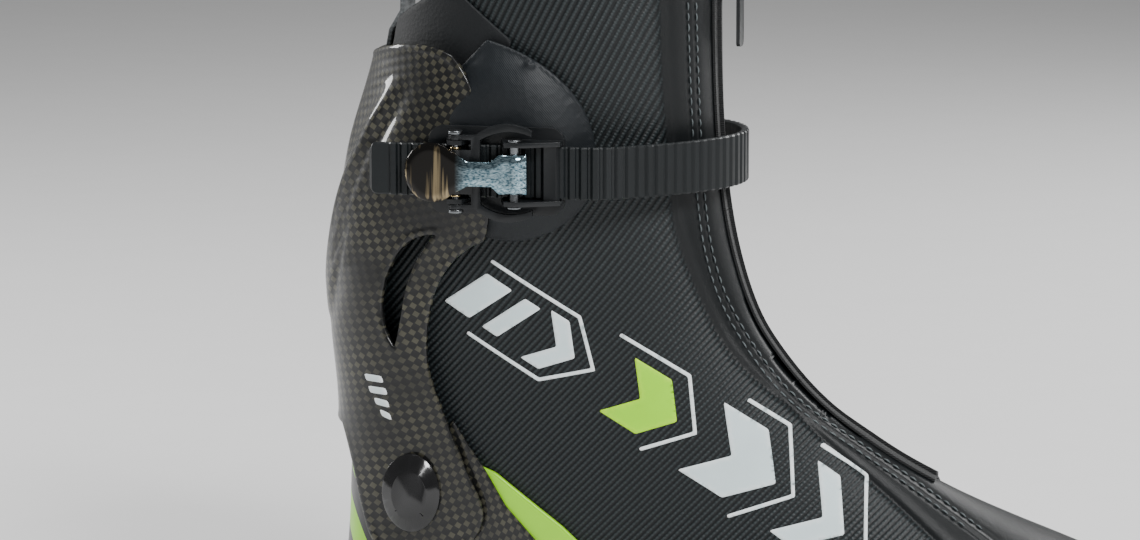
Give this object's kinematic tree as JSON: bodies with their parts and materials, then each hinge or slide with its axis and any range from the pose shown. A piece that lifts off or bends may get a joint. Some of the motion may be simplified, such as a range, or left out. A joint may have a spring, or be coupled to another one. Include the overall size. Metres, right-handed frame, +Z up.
{
  "type": "cross country ski boot",
  "caption": "Right skating boot with a hinged carbon cuff, ratchet buckle and strap, zipped gaiter and a sole with a toe bar for a ski binding.",
  "frame": {"origin": "on the ground, straight below the axis that the cuff turns about", "axes": "+X towards the toe, +Z up, -Y to the lateral side with the buckle, +Y to the medial side"},
  "size_m": [0.3094, 0.113, 0.2475],
  "materials": {
    "sole_rubber": "matt moulded rubber",
    "grey_plastic": "moulded nylon",
    "steel": "plain",
    "sole_plate": "moulded plastic",
    "neon_plastic": "satin moulded plastic with black printed bands",
    "carbon": "clear lacquered carbon weave",
    "black_plastic": "satin",
    "gaiter_textile": "coated textile with an embossed twill",
    "lining": "brushed lining over foam",
    "tongue_fabric": "padded mesh",
    "zip_black": "coil zip on tape",
    "insole_felt": "felt",
    "board": "fibre board",
    "gloss_black": "high gloss",
    "neoprene": "smooth neoprene",
    "grey_webbing": "ribbed webbing",
    "soft_leather": "soft grained synthetic leather",
    "satin_black": "satin",
    "dark_steel": "black oxide",
    "chrome": "polished",
    "strap_black": "satin moulded polyurethane"
  },
  "bodies": {
    "foot": {"outsole": "sole_rubber", "bar_housing": "grey_plastic", "binding_bar": "steel", "midsole_plate": "sole_plate", "heel_counter": "neon_plastic", "heel_brace": "carbon", "toe_cap": "black_plastic", "gaiter_foot": "gaiter_textile", "gaiter_ankle": "gaiter_textile", "liner_foot": "lining", "liner_ankle": "lining", "tongue_foot": "tongue_fabric", "tongue_ankle": "tongue_fabric", "zip_foot": "zip_black", "zip_ankle": "zip_black", "insole": "insole_felt", "lasting_board": "board", "pivot_bolts": "steel", "pivot_nuts": "steel"},
    "cuff": {"cuff": "carbon", "pivot_caps": "gloss_black", "gaiter_shaft": "gaiter_textile", "liner_shaft": "lining", "tongue_shaft": "tongue_fabric", "zip_shaft": "zip_black", "collar": "neoprene", "pull_tab": "grey_webbing", "pad_lateral": "soft_leather", "pad_medial": "soft_leather", "buckle_base": "satin_black", "buckle_rivets": "steel", "lock_axle": "dark_steel", "lever_axle": "dark_steel", "lock_springs": "steel", "loop_rivet": "dark_steel"},
    "lock_frame": {"lock_frame": "satin_black"},
    "lever": {"lever": "chrome", "drive_pin": "steel"},
    "drive_pawl": {"drive_pawl": "dark_steel"},
    "strap": {"ladder_strap": "strap_black", "ladder_loop": "strap_black"},
    "zip_slider": {"zip_slider": "satin_black"},
    "zip_pull": {"zip_pull": "satin_black"}
  },
  "joints": [
    {"name": "cuff_flex", "type": "hinge", "parent": "foot", "child": "cuff", "pos_m": [0, 0, 0.072], "axis": [0, 1, 0], "range_deg": [-8, 16], "deforming": ["gaiter_ankle", "liner_ankle", "tongue_ankle", "zip_ankle"]},
    {"name": "lever_open", "type": "hinge", "parent": "cuff", "child": "lever", "pos_m": [0.0386, -0.05753, 0.181], "axis": [0, 0, 1], "range_deg": [0, 100]},
    {"name": "drive_pawl_lift", "type": "hinge", "parent": "lever", "child": "drive_pawl", "pos_m": [0.033, -0.05713, 0.181], "axis": [0, 0, 1], "range_deg": [0, 12], "stiffness_Nm_per_rad": 0.01, "springref_deg": -5.73},
    {"name": "lock_release", "type": "hinge", "parent": "cuff", "child": "lock_frame", "pos_m": [0.0187, -0.05523, 0.181], "axis": [0, 0, 1], "range_deg": [0, 8], "stiffness_Nm_per_rad": 0.05, "springref_deg": -17.19},
    {"name": "strap_draw", "type": "slide", "parent": "cuff", "child": "strap", "axis": [1, 0, 0], "range_m": [-0.011, 0.018], "deforming": ["ladder_loop"]},
    {"name": "zip_travel", "type": "slide", "parent": "cuff", "child": "zip_slider", "axis": [0.04, 0, -0.9992], "range_m": [0, 0.05]},
    {"name": "zip_pull_swing", "type": "hinge", "parent": "zip_slider", "child": "zip_pull", "pos_m": [0.09809, 0.005, 0.239], "axis": [0, -1, 0], "range_deg": [0, 100]}
  ]
}
